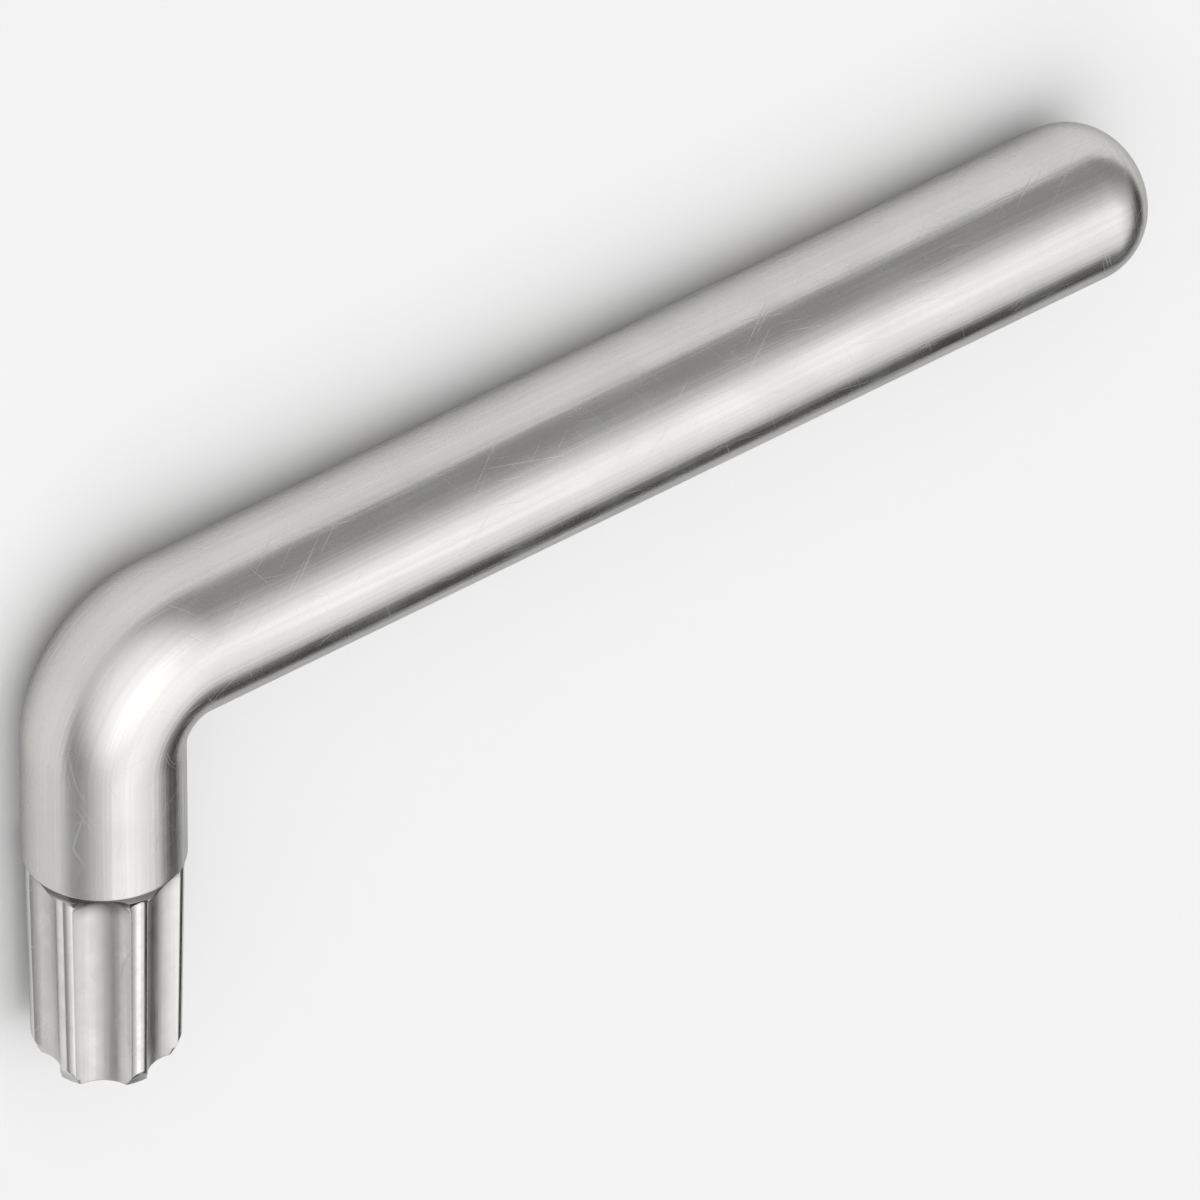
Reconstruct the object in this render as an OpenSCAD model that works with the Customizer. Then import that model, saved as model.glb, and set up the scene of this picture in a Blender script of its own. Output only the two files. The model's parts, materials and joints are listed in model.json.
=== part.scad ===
// Star-drive key
//
// One round steel bar, bent into an L. The short arm ends in a six-lobed star below a turned
// shoulder, and the long arm is the handle, with a rounded end.
//
// The key lies on its side, as it rests on a bench. The long arm runs along +X, the short arm
// along -Y, and the bar touches the bench at z = 0. The origin is below the middle of the key.

/* [Bar] */
// Diameter of the round bar
bar_d = 6; // [5.9:0.1:8]
// Overall length of the long arm, measured over the bend
long_arm = 49.9; // [30:0.1:120]
// Overall length of the short arm, measured over the bend
short_arm = 20.2; // [18:0.1:40]
// Radius of the bar's surface inside the bend
inside_bend_r = 0.2; // [0.1:0.1:4]
// Radius that rounds the far end of the long arm
end_round_r = 2.6; // [0.3:0.1:2.8]

/* [Star] */
// Length of the star, from the shoulder to the tip face
star_len = 9; // [5:0.1:11]
// Size across opposite lobes at the tip
across_lobes = 5.42; // [5.2:0.01:5.5]
// Size across opposite flutes at the tip
across_flutes = 3.94; // [3.8:0.01:4.1]
// Radius of a lobe's crest at the tip
lobe_r = 0.45; // [0.38:0.01:0.5]
// How far a flute cuts into the lobes beside it, at the tip
flute_overlap = 0.04; // [0.03:0.01:0.08]
// Draft of the star, as the angle of one side
draft = 1.1; // [0.3:0.1:1.4]
// Turn of the star about the short arm, from a flute that faces along the long arm
star_turn = 10; // [0:1:59]

/* [Edges] */
// Bevel on the edge of the shoulder
shoulder_bevel = 0.06; // [0.02:0.01:0.1]
// Distance between the shoulder and the flutes' ends
flute_stop = 0.06; // [0.05:0.01:0.2]
// Radius of the flutes' ends
runout_r = 0.9; // [0.5:0.1:1.1]
// Height of the round collar between the shoulder and the lobes
collar_len = 0.3; // [0.1:0.05:0.4]
// How far the collar stands proud of the lobes
collar_proud = 0.02; // [0.01:0.01:0.04]
// Length of the tip's chamfer along the star
tip_chamfer_len = 0.7; // [0.2:0.1:1.5]
// Depth of the tip's chamfer into a lobe
tip_chamfer_in = 0.35; // [0.1:0.05:0.5]

/* [Hidden] */
$fn = 96;

lobes = 6;
pitch = 360 / lobes;
over = 1; // how far a cut or a form runs past the face that ends it
star_root = 0.5; // how far the star reaches into the shank
seam_turn = pitch / 4; // keeps the start line of a turned form off the middles of lobes and flutes

bar_r = bar_d / 2;
bend_r = bar_r + inside_bend_r;

// Straight lengths, from the end of the bend
handle_len = long_arm - bar_r - bend_r;
shank_len = short_arm - bar_r - bend_r - star_len;

// The star's outline at the tip, with a lobe along +X and a flute half a pitch away. The flutes'
// radius is the one that puts a lobe's and a flute's centre lobe_r + flute_r - flute_overlap apart.
lobe_x = across_lobes / 2 - lobe_r;
free_lobe_r = lobe_r - flute_overlap;
flute_r = (pow(across_flutes / 2, 2) + pow(lobe_x, 2) - pow(free_lobe_r, 2)
           - across_flutes * lobe_x * cos(pitch / 2))
          / (2 * free_lobe_r + 2 * lobe_x * cos(pitch / 2) - across_flutes);
flute_x = across_flutes / 2 + flute_r;

// The core reaches out to the middle of the overlap between a lobe and a flute
lobe_to_flute = [flute_x * cos(pitch / 2) - lobe_x, flute_x * sin(pitch / 2)];
overlap_mid = lobe_r - flute_overlap / 2;
core_r = norm([lobe_x, 0] + lobe_to_flute * overlap_mid / norm(lobe_to_flute));

// Size of the outline at a height below the shoulder, compared with its size at the tip
function swell(z) = 1 + (star_len - z) * tan(draft) / (across_lobes / 2);

// A size in whole micrometres, so that an arc and the line that it runs into share their end
function whole_um(size) = round(size * 1000) / 1000;

// The straight of the short arm along +Z, with a bevelled shoulder at z = 0
module shank() {
    rotate_extrude()
        polygon([
            [0, -shank_len],
            [bar_r, -shank_len],
            [bar_r, -shoulder_bevel],
            [bar_r - shoulder_bevel, 0],
            [0, 0]
        ]);
}

// The round part of the star: its collar, and the core between the lobes
module star_core() {
    collar_r = across_lobes / 2 * swell(0) + collar_proud;
    rotate_extrude()
        polygon([
            [0, -star_root],
            [collar_r, -star_root],
            [collar_r, collar_len],
            [core_r * swell(runout_r), runout_r],
            [core_r * swell(star_len + over), star_len + over],
            [0, star_len + over]
        ]);
}

// One lobe, as a drafted round form that leans towards the tip
module lobe() {
    x_root = lobe_x * swell(0);
    x_tip = lobe_x * swell(star_len + over);
    translate([x_root, 0, 0])
        rotate([0, atan2(x_tip - x_root, star_len + over), 0])
            cylinder(h = norm([x_tip - x_root, star_len + over]),
                     r1 = lobe_r * swell(0), r2 = lobe_r * swell(star_len + over));
}

// The space that the chamfered tip stays inside
module tip_envelope() {
    wide = bar_r + over;
    tip_r = across_lobes / 2 * swell(star_len - tip_chamfer_len) - tip_chamfer_in;
    rotate_extrude()
        polygon([
            [0, -star_root - over],
            [wide, -star_root - over],
            [wide, star_len - tip_chamfer_len * (wide - tip_r) / tip_chamfer_in],
            [tip_r, star_len],
            [0, star_len]
        ]);
}

// One flute's cut, with a rounded end near the shoulder
module flute_cut() {
    cut_len = star_len + over - flute_stop;
    r_root = whole_um(flute_r * swell(flute_stop + runout_r));
    r_tip = flute_r * swell(star_len + over);
    x_root = flute_x * swell(flute_stop);
    x_tip = flute_x * swell(star_len + over);
    translate([x_root, 0, flute_stop])
        rotate([0, atan2(x_tip - x_root, cut_len), 0])
            rotate_extrude() {
                polygon([[0, runout_r], [r_root, runout_r], [r_tip, cut_len], [0, cut_len]]);
                square([r_root - runout_r, runout_r]);
                intersection() {
                    translate([r_root - runout_r, runout_r]) circle(runout_r);
                    translate([r_root - runout_r, 0]) square(runout_r);
                }
            }
}

// The star along +Z, from inside the shank to the tip
module star() {
    difference() {
        intersection() {
            union() {
                rotate(seam_turn) star_core();
                for (i = [0 : lobes - 1])
                    rotate((i + 0.5) * pitch) lobe();
            }
            rotate(seam_turn) tip_envelope();
        }
        for (i = [0 : lobes - 1])
            rotate(i * pitch) flute_cut();
    }
}

// The handle along +Z, from the end of the bend to its rounded end
module long_arm_bar() {
    rotate_extrude() {
        square([bar_r, handle_len - end_round_r]);
        square([bar_r - end_round_r, handle_len]);
        intersection() {
            translate([bar_r - end_round_r, handle_len - end_round_r]) circle(end_round_r);
            translate([bar_r - end_round_r, handle_len - end_round_r]) square(end_round_r);
        }
    }
}

// A quarter turn of the bar, about the z axis
module bend() {
    rotate_extrude(angle = 90) translate([bend_r, 0]) circle(bar_r);
}

module star_key() {
    color("silver")
        translate([bar_r - long_arm / 2, short_arm / 2 - bar_r, bar_r]) {
            translate([bend_r, 0, 0]) rotate([0, 90, 0]) long_arm_bar();
            translate([bend_r, -bend_r, 0]) rotate(90) bend();
            translate([0, -bend_r - shank_len, 0])
                rotate([90, 0, 0]) {
                    shank();
                    rotate(star_turn) star();
                }
        }
}

star_key();
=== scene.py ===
"""Star-drive key of plated steel, lying on a pale bench in soft studio light."""

import json
import math
from types import SimpleNamespace

import bpy
from mathutils import Matrix, Vector


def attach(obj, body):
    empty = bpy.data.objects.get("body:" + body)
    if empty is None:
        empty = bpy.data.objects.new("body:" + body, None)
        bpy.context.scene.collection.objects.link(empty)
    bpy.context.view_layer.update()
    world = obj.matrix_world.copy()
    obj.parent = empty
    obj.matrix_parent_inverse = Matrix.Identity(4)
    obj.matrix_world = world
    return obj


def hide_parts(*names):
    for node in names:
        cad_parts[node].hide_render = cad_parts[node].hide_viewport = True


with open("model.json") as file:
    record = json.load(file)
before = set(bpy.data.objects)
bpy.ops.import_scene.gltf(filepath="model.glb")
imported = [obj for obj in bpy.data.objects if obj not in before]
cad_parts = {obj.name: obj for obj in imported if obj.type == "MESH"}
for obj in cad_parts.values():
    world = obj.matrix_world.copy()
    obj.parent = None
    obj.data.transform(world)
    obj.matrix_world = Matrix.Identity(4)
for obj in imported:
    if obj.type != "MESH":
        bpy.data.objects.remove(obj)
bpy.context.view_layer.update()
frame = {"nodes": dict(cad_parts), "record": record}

MM = 0.001


# Sizes of the key ------------------------------------------------------------------------------

def mount(name):
    """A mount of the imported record."""
    return next(m for m in frame["record"]["mounts"] if m["name"] == name)


# Where the bar lies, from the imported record. The bend turns about (BEND_X, BEND_Y).
LONG_ARM = mount("long_arm")
TIP = mount("drive_tip")
BAR_R = LONG_ARM["dims"]["r_mm"] * MM
STRAIGHT_LEN = LONG_ARM["dims"]["length_mm"] * MM
AXIS_Z = LONG_ARM["pos_m"][2]
LONG_AXIS_Y = LONG_ARM["pos_m"][1]
SHORT_AXIS_X = TIP["pos_m"][0]
TIP_Y = TIP["pos_m"][1]
BEND_X = LONG_ARM["pos_m"][0] - STRAIGHT_LEN / 2
BEND_R = BEND_X - SHORT_AXIS_X
BEND_Y = LONG_AXIS_Y - BEND_R

# The star and the rounded end, with the names and values of the solid
STAR_LEN = 9 * MM
ACROSS_LOBES = 5.42 * MM
ACROSS_FLUTES = 3.94 * MM
LOBE_R = 0.45 * MM
FLUTE_OVERLAP = 0.04 * MM
DRAFT = math.radians(1.1)
STAR_TURN = math.radians(10)
FLUTE_STOP = 0.06 * MM
RUNOUT_R = 0.9 * MM
COLLAR_LEN = 0.3 * MM
COLLAR_PROUD = 0.02 * MM
TIP_CHAMFER_LEN = 0.7 * MM
TIP_CHAMFER_IN = 0.35 * MM
END_ROUND_R = 2.6 * MM

# The star's outline at the tip, worked out as the solid's is
LOBES = 6
HALF_PITCH = math.pi / LOBES
LOBE_X = ACROSS_LOBES / 2 - LOBE_R
FREE_LOBE_R = LOBE_R - FLUTE_OVERLAP
FLUTE_R = (((ACROSS_FLUTES / 2) ** 2 + LOBE_X ** 2 - FREE_LOBE_R ** 2
            - ACROSS_FLUTES * LOBE_X * math.cos(HALF_PITCH))
           / (2 * FREE_LOBE_R + 2 * LOBE_X * math.cos(HALF_PITCH) - ACROSS_FLUTES))
FLUTE_X = ACROSS_FLUTES / 2 + FLUTE_R
LOBE_TO_FLUTE = Vector((FLUTE_X * math.cos(HALF_PITCH) - LOBE_X, FLUTE_X * math.sin(HALF_PITCH)))
OVERLAP_MID = LOBE_TO_FLUTE.normalized() * (LOBE_R - FLUTE_OVERLAP / 2)
CORE_R = (Vector((LOBE_X, 0)) + OVERLAP_MID).length
TIP_R = ACROSS_LOBES / 2 + TIP_CHAMFER_LEN * math.tan(DRAFT) - TIP_CHAMFER_IN

# Edges are softened by this much
TIP_EDGE_R = 0.04 * MM
SHOULDER_EDGE_R = 0.08 * MM
RIDGE_BLEND = 0.02 * MM

# Places along the straightened bar, measured from the end of the bend nearer the star
SHOULDER_AT = TIP_Y + STAR_LEN - BEND_Y
BEND_LEN = BEND_R * math.pi / 2
DOME_AT = BEND_LEN + STRAIGHT_LEN


# Node helpers ----------------------------------------------------------------------------------

class Nodes:
    """Short names for adding nodes to one tree. A value is a number or another node's output."""

    def __init__(self, tree):
        self.tree = tree
        tree.nodes.clear()

    def add(self, kind, inputs=None, **settings):
        """A new node. Each of its inputs gets a constant or a link."""
        node = self.tree.nodes.new(kind)
        for key, value in settings.items():
            setattr(node, key, value)
        for key, value in (inputs or {}).items():
            if isinstance(value, bpy.types.NodeSocket):
                self.tree.links.new(value, node.inputs[key])
            else:
                node.inputs[key].default_value = value
        return node

    def math(self, operation, a, b=0.0):
        return self.add("ShaderNodeMath", {0: a, 1: b}, operation=operation).outputs[0]

    def plus(self, a, b):
        return self.math("ADD", a, b)

    def minus(self, a, b):
        return self.math("SUBTRACT", a, b)

    def times(self, a, b):
        return self.math("MULTIPLY", a, b)

    def larger(self, a, b):
        return self.math("MAXIMUM", a, b)

    def smaller(self, a, b):
        return self.math("MINIMUM", a, b)

    def absolute(self, a):
        return self.math("ABSOLUTE", a)

    def vector(self, x, y, z=0.0):
        return self.add("ShaderNodeCombineXYZ", {0: x, 1: y, 2: z}).outputs[0]

    def length(self, x, y):
        node = self.add("ShaderNodeVectorMath", {0: self.vector(x, y)}, operation="LENGTH")
        return node.outputs["Value"]

    def towards(self, direction, aim):
        """How well a direction agrees with an aim: 1 along it and 0 square to it."""
        node = self.add("ShaderNodeVectorMath", {0: direction, 1: aim}, operation="DOT_PRODUCT")
        return node.outputs["Value"]

    def noise(self, place, scale, detail):
        node = self.add("ShaderNodeTexNoise", {"Vector": place, "Scale": scale, "Detail": detail})
        return node.outputs["Fac"]

    def mix(self, share, a, b):
        return self.add("ShaderNodeMix", {0: share, 2: a, 3: b}).outputs[0]

    def mix_colour(self, share, a, b):
        return self.add("ShaderNodeMix", {0: share, 6: a, 7: b}, data_type="RGBA").outputs[2]

    def ramp(self, value, low, high, to_low=0.0, to_high=1.0):
        """Smooth step of a value from one range to another."""
        inputs = {"Value": value, "From Min": low, "From Max": high,
                  "To Min": to_low, "To Max": to_high}
        node = self.add("ShaderNodeMapRange", inputs, interpolation_type="SMOOTHSTEP")
        return node.outputs["Result"]

    def fade(self, value, low, high):
        """Smooth step from 1 where a value is low to 0 where it is high."""
        return self.ramp(value, low, high, 1.0, 0.0)


def new_material(name):
    material = bpy.data.materials.new(name)
    material.use_nodes = True
    return material, Nodes(material.node_tree)


def new_object(name, data):
    thing = bpy.data.objects.new(name, data)
    bpy.context.collection.objects.link(thing)
    return thing


# Camera ----------------------------------------------------------------------------------------

# The drawing's viewpoint. The drawing's upright is the short arm, with the star below. The view is
# raised above the plane that is square to that arm, and turned about it from straight above the
# bench towards the bend.
VIEW_ELEVATION = math.radians(38)
VIEW_TURN = math.radians(38.25)

# The drawing's framing, as shares of the picture's width: the key's width, and how far the key's
# middle lies to the left of the picture's middle and below it
KEY_WIDTH = 0.943
KEY_LEFT = 0.0101
KEY_LOW = 0.0009


def make_camera():
    """A long lens far away, which comes near the drawing's parallel projection."""
    back = Vector((-math.sin(VIEW_TURN) * math.cos(VIEW_ELEVATION), math.sin(VIEW_ELEVATION),
                   math.cos(VIEW_TURN) * math.cos(VIEW_ELEVATION)))
    right = Vector((0, 1, 0)).cross(back).normalized()
    up = back.cross(right)

    points = [vertex.co for node in frame["nodes"].values() for vertex in node.data.vertices]
    across = [point.dot(right) for point in points]
    along = [point.dot(up) for point in points]
    picture_width = (max(across) - min(across)) / KEY_WIDTH
    x = (max(across) + min(across)) / 2 + KEY_LEFT * picture_width
    y = (max(along) + min(along)) / 2 + KEY_LOW * picture_width
    z = sum(point.dot(back) for point in points) / len(points)

    data = bpy.data.cameras.new("camera")
    data.lens = 1000
    data.sensor_width = 36
    data.clip_start = 0.1
    data.clip_end = 10
    distance = picture_width * data.lens / data.sensor_width
    place = right * x + up * y + back * (z + distance)
    facing = Matrix((right, up, back)).transposed().to_4x4()
    camera = new_object("camera", data)
    camera.matrix_world = Matrix.Translation(place) @ facing
    bpy.context.scene.camera = camera


# Studio ----------------------------------------------------------------------------------------

# The room's directions, seen from the key: its lights, and the dark side far from the camera
OVERHEAD = (0.18, -0.4, 0.9)
FRONT = (-0.45, 0.45, 0.77)
FAR_SIDE = (0.62, -0.78, 0.0)

# How well a direction agrees with each of those where it starts and where it is full, and the
# heights between which the dark side ends
OVERHEAD_SPREAD = (0.25, 0.96)
FRONT_SPREAD = (0.5, 1.0)
FAR_SIDE_SPREAD = (0.4, 0.8)
FAR_SIDE_TOP = (0.3, 0.7)

# How bright the room is away from its lights and overhead, what the light in front adds, and the
# share of light that is left on the far side
ROOM_LIGHT = 0.3
OVERHEAD_LIGHT = 1.05
FRONT_LIGHT = 0.95
FAR_SIDE_SHARE = 0.06


def floor_paper():
    """Pale matt paper."""
    material, n = new_material("floor_paper")
    shader = n.add("ShaderNodeBsdfPrincipled", {
        "Base Color": (0.88, 0.88, 0.88, 1),
        "Roughness": 0.9,
        "Specular IOR Level": 0.1,
    })
    n.add("ShaderNodeOutputMaterial", {"Surface": shader.outputs[0]})
    return material


def make_floor():
    reach = 2.0
    corners = [(-reach, -reach, 0), (reach, -reach, 0), (reach, reach, 0), (-reach, reach, 0)]
    mesh = bpy.data.meshes.new("floor")
    mesh.from_pydata(corners, [], [(0, 1, 2, 3)])
    mesh.materials.append(floor_paper())
    new_object("floor", mesh)


def make_world():
    """A pale room, bright overhead and in front. Its dark far side draws the key's lower edges."""
    world = bpy.data.worlds.new("studio")
    world.use_nodes = True
    bpy.context.scene.world = world
    n = Nodes(world.node_tree)
    direction = n.add("ShaderNodeTexCoord").outputs["Generated"]
    height = n.add("ShaderNodeSeparateXYZ", {0: direction}).outputs["Z"]
    overhead = n.ramp(n.towards(direction, OVERHEAD), *OVERHEAD_SPREAD, ROOM_LIGHT, OVERHEAD_LIGHT)
    front = n.ramp(n.towards(direction, FRONT), *FRONT_SPREAD, 0.0, FRONT_LIGHT)
    far_side = n.ramp(n.towards(direction, FAR_SIDE), *FAR_SIDE_SPREAD)
    darkness = n.times(far_side, n.fade(height, *FAR_SIDE_TOP))
    strength = n.times(n.plus(overhead, front), n.ramp(darkness, 0.0, 1.0, 1.0, FAR_SIDE_SHARE))
    shader = n.add("ShaderNodeBackground", {"Color": (1, 1, 1, 1), "Strength": strength})
    n.add("ShaderNodeOutputWorld", {"Surface": shader.outputs[0]})


def make_softbox():
    """A level panel that hangs over the side of the key away from the camera."""
    length = 1.1
    width = 0.33
    height = 0.6
    lean = (0.2, -0.44)
    length_along = (-0.717, -0.697)
    radiance = 0.3
    data = bpy.data.lights.new("overhead", "AREA")
    data.shape = "RECTANGLE"
    data.size = length
    data.size_y = width
    data.energy = radiance * math.pi * length * width
    light = new_object("overhead", data)
    light.location = (lean[0] * height, lean[1] * height, height)
    light.rotation_euler = (0, 0, math.atan2(length_along[1], length_along[0]))
    light.visible_camera = False


# The key's surface -----------------------------------------------------------------------------
#
# The key is a turned form that is bent into an L. Each ring of points has a place along the bar
# and a radius at each angle about the bar's axis, measured from the outer side of the bend.

# The ridge between a flute and a lobe lies between these angles from the flute's middle
RIDGE_FROM = math.radians(21.8)
RIDGE_TO = math.radians(23.4)

# Points over half a flute, one ridge and half a lobe
FLUTE_POINTS = 12
RIDGE_POINTS = 8
LOBE_POINTS = 4

# Steps of rings over the softened tip edge, the chamfer, the flutes and their run-outs, the
# collar, the softened shoulder edge, the bend and the rounded end
TIP_EDGE_STEPS = 5
CHAMFER_STEPS = 36
FLUTE_STEPS = 12
RUNOUT_STEPS = 40
COLLAR_STEPS = 3
SHOULDER_EDGE_STEPS = 6
BEND_STEPS = 60
DOME_STEPS = 40

# Sizes of the rings on the tip's face and on the far end's flat, compared with their edges
TIP_FACE_RINGS = (0.3, 0.6, 0.8, 0.9, 0.97)
FLAT_RINGS = (0.95, 0.5)

# A ring this far beside a curve keeps the curve's shading off the straight stretch next to it
BESIDE = 0.1 * MM

# The inner corner of the shoulder is filled by this much
CORNER_FILL = 0.005 * MM


def spread(start, end, steps):
    """Evenly spaced values from start up to, but not including, end."""
    return [start + (end - start) * i / steps for i in range(steps)]


def quarter(steps):
    """Sine and cosine of angles over a quarter turn, with both ends."""
    turns = spread(0, math.pi / 2, steps) + [math.pi / 2]
    return [(math.sin(turn), math.cos(turn)) for turn in turns]


def smooth_min(a, b):
    """The smaller of two radii, with the ridge between them softened."""
    near = max(RIDGE_BLEND - abs(a - b), 0.0) / RIDGE_BLEND
    return min(a, b) - near * near * RIDGE_BLEND / 4


def swell(depth):
    """Size of the star's outline at a depth below the shoulder, compared with that at the tip."""
    return 1 + (STAR_LEN - depth) * math.tan(DRAFT) / (ACROSS_LOBES / 2)


def ray_to_circle(centre, radius, angle, side):
    """Distance from the axis to where a ray leaves a circle (side 1) or enters it (side -1)."""
    inside = radius ** 2 - (centre * math.sin(angle)) ** 2
    if inside <= 0:
        return None
    return centre * math.cos(angle) + side * math.sqrt(inside)


def core_radius(depth):
    """The round collar, and the core between the lobes."""
    collar = ACROSS_LOBES / 2 * swell(0) + COLLAR_PROUD
    if depth > RUNOUT_R:
        return CORE_R * swell(depth)
    share = max((depth - COLLAR_LEN) / (RUNOUT_R - COLLAR_LEN), 0.0)
    return collar + (CORE_R * swell(RUNOUT_R) - collar) * share


def flute_radius(depth):
    """Radius of the form that cuts a flute, with its rounded end near the shoulder."""
    reach = depth - FLUTE_STOP
    if reach > RUNOUT_R:
        return FLUTE_R * swell(depth)
    root = FLUTE_R * swell(FLUTE_STOP + RUNOUT_R)
    return root - RUNOUT_R + math.sqrt(RUNOUT_R ** 2 - (RUNOUT_R - reach) ** 2)


def star_radius(depth, angle):
    """Radius of the star at a depth below the shoulder and an angle from the middle of a flute."""
    lobe = ray_to_circle(LOBE_X * swell(depth), LOBE_R * swell(depth), HALF_PITCH - angle, 1)
    radius = max(core_radius(depth), lobe or 0.0)
    if depth > FLUTE_STOP:
        flute = ray_to_circle(FLUTE_X * swell(depth), flute_radius(depth), angle, -1)
        radius = smooth_min(radius, flute or 2 * BAR_R)
    chamfer = TIP_R + (STAR_LEN - depth) * TIP_CHAMFER_IN / TIP_CHAMFER_LEN
    return smooth_min(radius, chamfer)


def ring_angles():
    """Angles about the bar, close together at the ridges between lobes and flutes."""
    half = (spread(0, RIDGE_FROM, FLUTE_POINTS) + spread(RIDGE_FROM, RIDGE_TO, RIDGE_POINTS)
            + spread(RIDGE_TO, HALF_PITCH, LOBE_POINTS))
    mirrored = [2 * HALF_PITCH - angle for angle in reversed(half[1:])]
    pitch = half + [HALF_PITCH] + mirrored
    return [angle + 2 * HALF_PITCH * i - STAR_TURN for i in range(LOBES) for angle in pitch]


def star_rings(angles):
    """Rings of the star from the middle of its tip face to the shoulder."""
    from_flute = [abs((angle + STAR_TURN + HALF_PITCH) % (2 * HALF_PITCH) - HALF_PITCH)
                  for angle in angles]

    def ring(depth, inset=0.0, scale=1.0):
        radii = [(star_radius(depth, angle) - inset) * scale for angle in from_flute]
        return SHOULDER_AT - depth, radii

    rings = [ring(STAR_LEN, TIP_EDGE_R, scale) for scale in TIP_FACE_RINGS]
    for sine, cosine in quarter(TIP_EDGE_STEPS):
        rings.append(ring(STAR_LEN - TIP_EDGE_R * (1 - cosine), TIP_EDGE_R * (1 - sine)))
    chamfer_end = STAR_LEN - TIP_CHAMFER_LEN - BESIDE
    runout_end = FLUTE_STOP + RUNOUT_R
    depths = spread(STAR_LEN - TIP_EDGE_R, chamfer_end, CHAMFER_STEPS)[1:]
    depths += spread(chamfer_end, runout_end, FLUTE_STEPS)
    depths += [FLUTE_STOP + RUNOUT_R * (1 - sine) for sine, _ in quarter(RUNOUT_STEPS)]
    depths += spread(FLUTE_STOP, 0, COLLAR_STEPS)[1:] + [CORNER_FILL]
    return rings + [ring(depth) for depth in depths]


def bar_rings(angles):
    """Rings of the round bar from the shoulder to the middle of the far end."""
    def ring(along, radius):
        return along, [radius] * len(angles)

    rings = [ring(SHOULDER_AT, core_radius(0) + CORNER_FILL)]
    for sine, cosine in quarter(SHOULDER_EDGE_STEPS):
        rings.append(ring(SHOULDER_AT + SHOULDER_EDGE_R * (1 - cosine),
                          BAR_R - SHOULDER_EDGE_R * (1 - sine)))
    rings.append(ring(SHOULDER_AT + 2 * SHOULDER_EDGE_R, BAR_R))
    rings.append(ring(-BESIDE, BAR_R))
    rings += [ring(along, BAR_R) for along in spread(0, BEND_LEN, BEND_STEPS) + [BEND_LEN]]
    rings.append(ring(BEND_LEN + BESIDE, BAR_R))
    rings.append(ring(DOME_AT - BESIDE, BAR_R))
    for sine, cosine in quarter(DOME_STEPS):
        rings.append(ring(DOME_AT + END_ROUND_R * sine, BAR_R - END_ROUND_R * (1 - cosine)))
    flat_r = BAR_R - END_ROUND_R
    rings += [ring(DOME_AT + END_ROUND_R, flat_r * scale) for scale in FLAT_RINGS]
    return rings


def on_bar(along, angle, radius):
    """A point of the straightened bar, put on the L."""
    turn = min(max(along / BEND_R, 0.0), math.pi / 2)
    past = along - turn * BEND_R
    reach = BEND_R + radius * math.cos(angle)
    return (BEND_X - reach * math.cos(turn) + max(past, 0.0),
            BEND_Y + reach * math.sin(turn) + min(past, 0.0),
            AXIS_Z + radius * math.sin(angle))


def unrolled(angles, rings):
    """How far round the bar each angle lies, and how far up the surface each ring, as shares."""
    across = [(angle - angles[0]) / (2 * math.pi) for angle in angles] + [1.0]
    profile = [(along, sum(radii) / len(radii)) for along, radii in rings]
    steps = [profile[0][1]] + [math.dist(a, b) for a, b in zip(profile, profile[1:])]
    surface_len = sum(steps) + profile[-1][1]
    return across, [sum(steps[:i + 1]) / surface_len for i in range(len(steps))]


def skin(angles, rings):
    """Faces over the rings and both ends, and their corners' places on the unrolled surface.

    Points are numbered ring by ring, and the middles of the tip and of the far end come last.
    """
    across, up = unrolled(angles, rings)
    count = len(angles)
    faces = []
    places = []
    for ring in range(len(rings) - 1):
        near = ring * count
        far = near + count
        for i in range(count):
            j = (i + 1) % count
            faces.append((near + i, near + j, far + j, far + i))
            places += [(across[i], up[ring]), (across[i + 1], up[ring]),
                       (across[i + 1], up[ring + 1]), (across[i], up[ring + 1])]
    tip_middle = len(rings) * count
    far_middle = tip_middle + 1
    last = tip_middle - count
    for i in range(count):
        j = (i + 1) % count
        middle = (across[i] + across[i + 1]) / 2
        faces.append((tip_middle, j, i))
        places += [(middle, 0.0), (across[i + 1], up[0]), (across[i], up[0])]
        faces.append((far_middle, last + i, last + j))
        places += [(middle, 1.0), (across[i], up[-1]), (across[i + 1], up[-1])]
    return faces, places


def make_key():
    """The finished key, which stands for the solid."""
    angles = ring_angles()
    rings = star_rings(angles) + bar_rings(angles)
    points = [on_bar(along, angle, radius)
              for along, radii in rings for angle, radius in zip(angles, radii)]
    points += [on_bar(along, 0, 0) for along, _ in (rings[0], rings[-1])]
    faces, places = skin(angles, rings)

    mesh = bpy.data.meshes.new("key_surface")
    mesh.from_pydata(points, [], faces)
    # A layer of this name holds the surface unrolled, round the bar and along it. The
    # export looks for a layer of this name when it bakes the steel
    layer = mesh.uv_layers.new(name="OFBake")
    for corner, place in zip(layer.uv, places):
        corner.vector = place
    mesh.materials.append(plated_steel())
    mesh.shade_smooth()
    key = new_object("key_surface", mesh)
    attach(key, "root")
    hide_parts("star_key")


# Steel -----------------------------------------------------------------------------------------

# Colours of the plate. The edge tint holds where it is seen at a glancing angle.
CLEAR = (0.70, 0.688, 0.662, 1)
CLOUDED = (0.665, 0.66, 0.65, 1)
MARKED = (0.60, 0.595, 0.585, 1)
IN_FLUTE = (0.52, 0.51, 0.50, 1)
ON_CREST = (0.76, 0.75, 0.73, 1)
# Painted shade, nearly black, laid in the corner below the shoulder and in the flutes' run-outs
PAINTED_SHADE = (0.11, 0.105, 0.10, 1)
EDGE_TINT = (0.6, 0.6, 0.6, 1)

# Shares of those colours where each is strongest, and over the patches of flutes and crests
MARKED_SHARE = 0.35
FLUTE_SHARES = (0.2, 0.4)
CREST_SHARES = (0.3, 1.0)
# The next two are the shares of painted shade in the corner and in the run-outs
CORNER_SHADE_SHARE = 0.9
RUNOUT_SHADE_SHARE = 0.8

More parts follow.
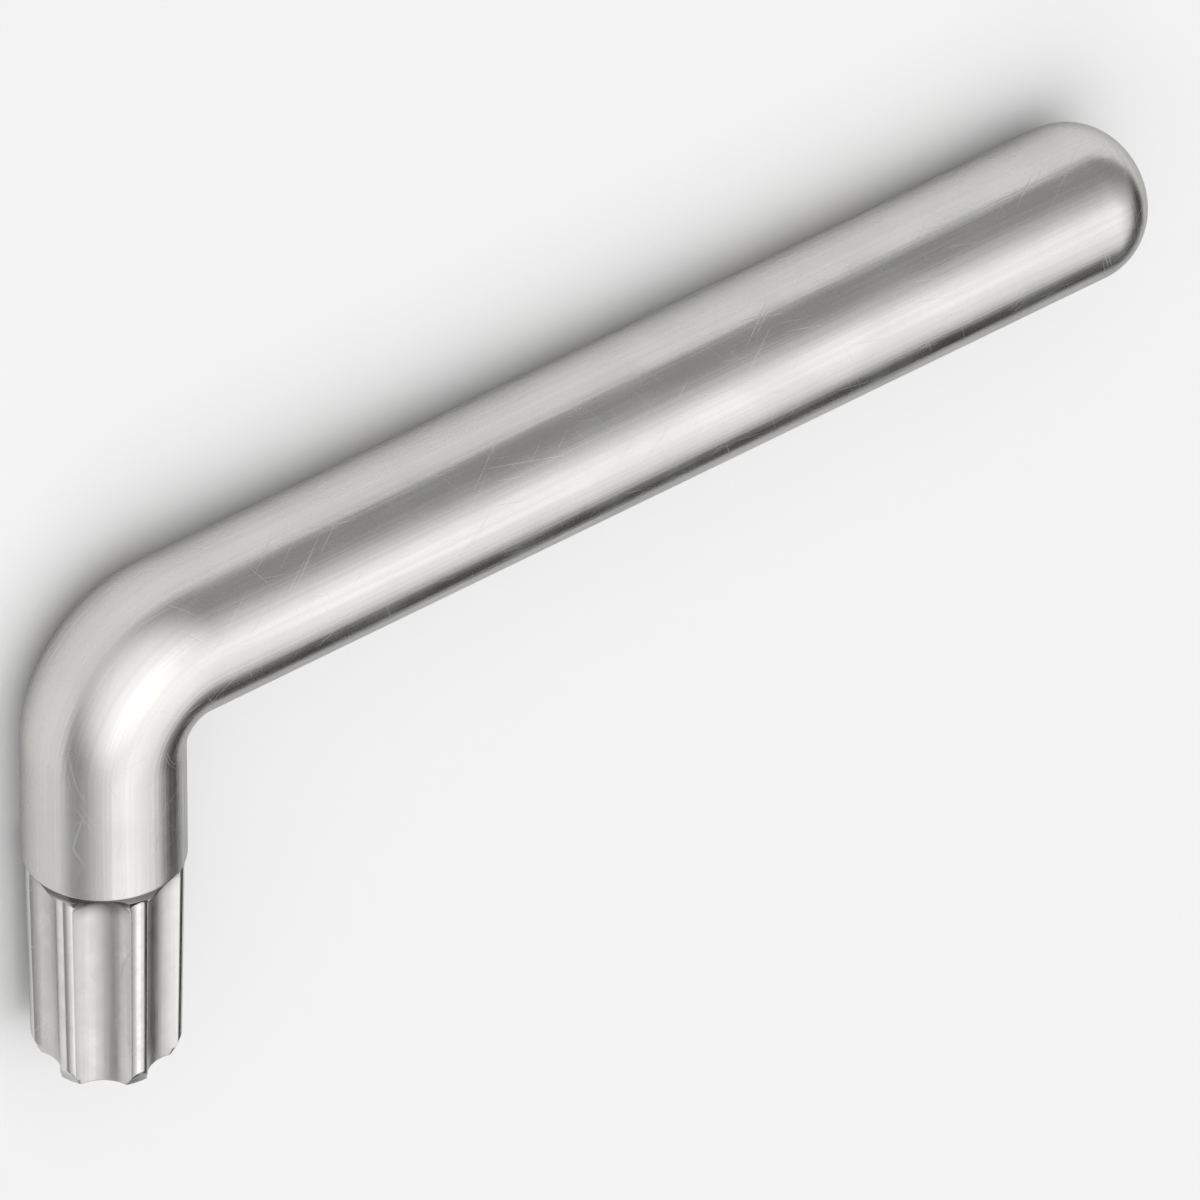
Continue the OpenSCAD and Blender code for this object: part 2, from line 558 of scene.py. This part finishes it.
# Roughness of the plate and of its polished crests, how far the polish goes over their patches,
# and what flutes, tool marks and scratches add
CLEAR_ROUGHNESS = 0.2
CLOUDED_ROUGHNESS = 0.27
CREST_ROUGHNESS = 0.15
CREST_POLISH = (0.3, 0.9)
FLUTE_ROUGHNESS = (0.03, 0.07)
MARK_ROUGHNESS = 0.07
SCRATCH_ROUGHNESS = 0.12

# Relief: the tool marks, the slight unevenness of the bar and of the star, and the scratches
MARK_HEIGHT = 0.005 * MM
BAR_UNEVENNESS = 0.02 * MM
STAR_UNEVENNESS = 0.004 * MM
SCRATCH_DEPTH = 0.001 * MM

# How closely the noise is set, per metre. Lines and scratches have one value along them and one
# across them.
CLOUD_SCALE = 0.3 / MM
PATCH_SCALE = 1.4 / MM
LINE_SCALE = (0.07 / MM, 6 / MM)
RING_SCALE = 9 / MM
SCRATCH_SCALE = (0.35 / MM, 14 / MM)

# The range of noise that counts: gently or sharply, for wear on the crests, and for scratches
GENTLY = (0.3, 0.7)
SHARPLY = (0.35, 0.65)
WORN = (0.3, 0.6)
SCRATCHED = (0.77, 0.83)

# How far the scratches slant from the bar's length, in radians
SCRATCH_SLANTS = (0.25, -0.6, 1.2)

# Distances over which the areas of the surface begin or end
STAR_BAND = (0.0, 0.04 * MM)  # below the shoulder
CORNER_BAND = (0.2 * MM, 0.5 * MM)  # below the shoulder
RUNOUT_SHADE_BAND = (0.6 * MM, 1.5 * MM)  # below the shoulder
CREST_BAND = (0.02 * MM, 0.16 * MM)  # in from the lobes' crests
FLUTE_BAND = (0.1 * MM, 0.6 * MM)  # in from the lobes' crests
CHAMFER_BAND = (0.02 * MM, 0.05 * MM)  # off the tip's chamfer
TIP_FACE_BAND = (0.002 * MM, 0.01 * MM)  # up from the tip's face
DOME_BAND = (0.2 * MM, 1.2 * MM)  # past the start of the rounded end


def bar_coordinates(n):
    """A point's place, and its coordinates on the straightened bar.

    Those are along the bar, out from the bend's centre, up, out from the bar's axis, and round it.
    """
    place = n.add("ShaderNodeTexCoord").outputs["Object"]
    xyz = n.add("ShaderNodeSeparateXYZ", {0: place}).outputs
    past_x = n.minus(xyz["X"], BEND_X)
    past_y = n.minus(xyz["Y"], BEND_Y)
    bend_x = n.smaller(past_x, 0.0)
    bend_y = n.larger(past_y, 0.0)
    turn = n.minus(math.pi, n.absolute(n.math("ARCTAN2", bend_y, bend_x)))
    straight = n.plus(n.larger(past_x, 0.0), n.smaller(past_y, 0.0))
    out = n.minus(n.length(bend_x, bend_y), BEND_R)
    height = n.minus(xyz["Z"], AXIS_Z)
    return SimpleNamespace(
        place=place,
        along=n.plus(straight, n.times(turn, BEND_R)),
        out=out,
        height=height,
        radius=n.length(out, height),
        arc=n.times(n.math("ARCTAN2", height, out), BAR_R),
    )


def finish_areas(n, at):
    """Where the finish differs, and where shade is painted, each area as a share from 0 to 1."""
    depth = n.minus(SHOULDER_AT, at.along)
    from_tip = n.minus(STAR_LEN, depth)
    star = n.ramp(depth, *STAR_BAND)

    crest_radius = n.plus(n.times(from_tip, math.tan(DRAFT)), ACROSS_LOBES / 2)
    below_crest = n.minus(crest_radius, at.radius)
    crest = n.times(star, n.fade(below_crest, *CREST_BAND))
    flute = n.times(star, n.ramp(below_crest, *FLUTE_BAND))

    # Painted shade: the corner below the shoulder and the flutes' run-outs are darkened in colour,
    # as if in shadow
    corner = n.times(star, n.fade(depth, *CORNER_BAND))
    runout_shade = n.times(flute, n.fade(depth, *RUNOUT_SHADE_BAND))

    # The tip, the rounded end and the corner are turned, and the rest of the bar is drawn
    chamfer_radius = n.plus(n.times(from_tip, TIP_CHAMFER_IN / TIP_CHAMFER_LEN), TIP_R)
    chamfer = n.fade(n.absolute(n.minus(chamfer_radius, at.radius)), *CHAMFER_BAND)
    tip_face = n.fade(from_tip, *TIP_FACE_BAND)
    dome = n.ramp(n.minus(at.along, DOME_AT), *DOME_BAND)
    turned = n.larger(n.larger(chamfer, tip_face), n.larger(dome, corner))

    return SimpleNamespace(star=star, crest=crest, flute=flute, corner=corner, runout_shade=runout_shade,
                           turned=turned)


def drawn_lines(n, at):
    """Fine lines along the bar, from drawing it through a die."""
    scale_along, scale_across = LINE_SCALE
    stretched = n.vector(n.times(at.along, scale_along), n.times(at.out, scale_across),
                         n.times(at.height, scale_across))
    return n.noise(stretched, 1.0, detail=3.0)


def turned_rings(n, at):
    """Fine rings about the axis, from turning."""
    profile = n.vector(n.times(at.along, RING_SCALE), n.times(at.radius, RING_SCALE))
    return n.noise(profile, 1.0, detail=2.0)


def scratches(n, at, slant):
    """Sparse short scratches at a slant to the bar. Each slant reads noise of its own."""
    sine = math.sin(slant)
    cosine = math.cos(slant)
    scale_along, scale_across = SCRATCH_SCALE
    along = n.plus(n.times(at.along, cosine), n.times(at.arc, sine))
    across = n.minus(n.times(at.arc, cosine), n.times(at.along, sine))
    stretched = n.vector(n.times(along, scale_along), n.times(across, scale_across), slant)
    return n.ramp(n.noise(stretched, 1.0, detail=0.0), *SCRATCHED)


def plate_texture(n, at, area):
    """What varies within an area, from 0 to 1: clouds, patches, tool marks and scratches."""
    scratched = 0.0
    for slant in SCRATCH_SLANTS:
        scratched = n.larger(scratched, scratches(n, at, slant))
    return SimpleNamespace(
        cloud=n.noise(at.place, CLOUD_SCALE, detail=4.0),
        patch=n.noise(at.place, PATCH_SCALE, detail=3.0),
        mark=n.mix(area.turned, drawn_lines(n, at), turned_rings(n, at)),
        scratch=scratched,
    )


def plate_colour(n, area, texture):
    """Colour of the plate, from its clouds to the shade painted in the corner and the run-outs."""
    marked = n.times(n.ramp(texture.mark, *GENTLY), MARKED_SHARE)
    in_flute = n.times(area.flute, n.ramp(texture.patch, *SHARPLY, *FLUTE_SHARES))
    on_crest = n.times(area.crest, n.ramp(texture.patch, *WORN, *CREST_SHARES))
    # Painted shade: the corner below the shoulder and the flutes' run-outs are mixed towards near
    # black
    painted_shade_share = n.larger(n.times(area.corner, CORNER_SHADE_SHARE), n.times(area.runout_shade, RUNOUT_SHADE_SHARE))
    colour = n.mix_colour(n.ramp(texture.cloud, *SHARPLY), CLEAR, CLOUDED)
    colour = n.mix_colour(marked, colour, MARKED)
    colour = n.mix_colour(in_flute, colour, IN_FLUTE)
    colour = n.mix_colour(on_crest, colour, ON_CREST)
    return n.mix_colour(painted_shade_share, colour, PAINTED_SHADE)


def plate_roughness(n, area, texture):
    """Roughness of the plate, with the lobes' crests polished by use."""
    in_flute = n.times(area.flute, n.ramp(texture.patch, *SHARPLY, *FLUTE_ROUGHNESS))
    on_crest = n.times(area.crest, n.ramp(texture.patch, *WORN, *CREST_POLISH))
    rough = n.ramp(texture.cloud, *GENTLY, CLEAR_ROUGHNESS, CLOUDED_ROUGHNESS)
    rough = n.plus(rough, n.ramp(texture.mark, *GENTLY, 0.0, MARK_ROUGHNESS))
    rough = n.plus(rough, n.times(texture.scratch, SCRATCH_ROUGHNESS))
    rough = n.plus(rough, in_flute)
    return n.mix(on_crest, rough, CREST_ROUGHNESS)


def plate_relief(n, area, texture):
    """Height of the surface in metres, which is what the bump's distance of 1 stands for."""
    unevenness = n.ramp(area.star, 0.0, 1.0, BAR_UNEVENNESS, STAR_UNEVENNESS)
    relief = n.plus(n.times(texture.mark, MARK_HEIGHT), n.times(texture.cloud, unevenness))
    return n.minus(relief, n.times(texture.scratch, SCRATCH_DEPTH))


def plated_steel():
    """Satin nickel plate over drawn steel bar."""
    material, n = new_material("plated_steel")
    at = bar_coordinates(n)
    area = finish_areas(n, at)
    texture = plate_texture(n, at, area)
    relief = plate_relief(n, area, texture)
    bump = n.add("ShaderNodeBump", {"Height": relief, "Strength": 1.0, "Distance": 1.0})
    shader = n.add("ShaderNodeBsdfPrincipled", {
        "Base Color": plate_colour(n, area, texture),
        "Metallic": 1.0,
        "Specular Tint": EDGE_TINT,
        "Roughness": plate_roughness(n, area, texture),
        "Normal": bump.outputs["Normal"],
    })
    n.add("ShaderNodeOutputMaterial", {"Surface": shader.outputs[0]})
    return material


bpy.context.scene.view_settings.view_transform = "Standard"
make_camera()
make_floor()
make_world()
make_softbox()
make_key()
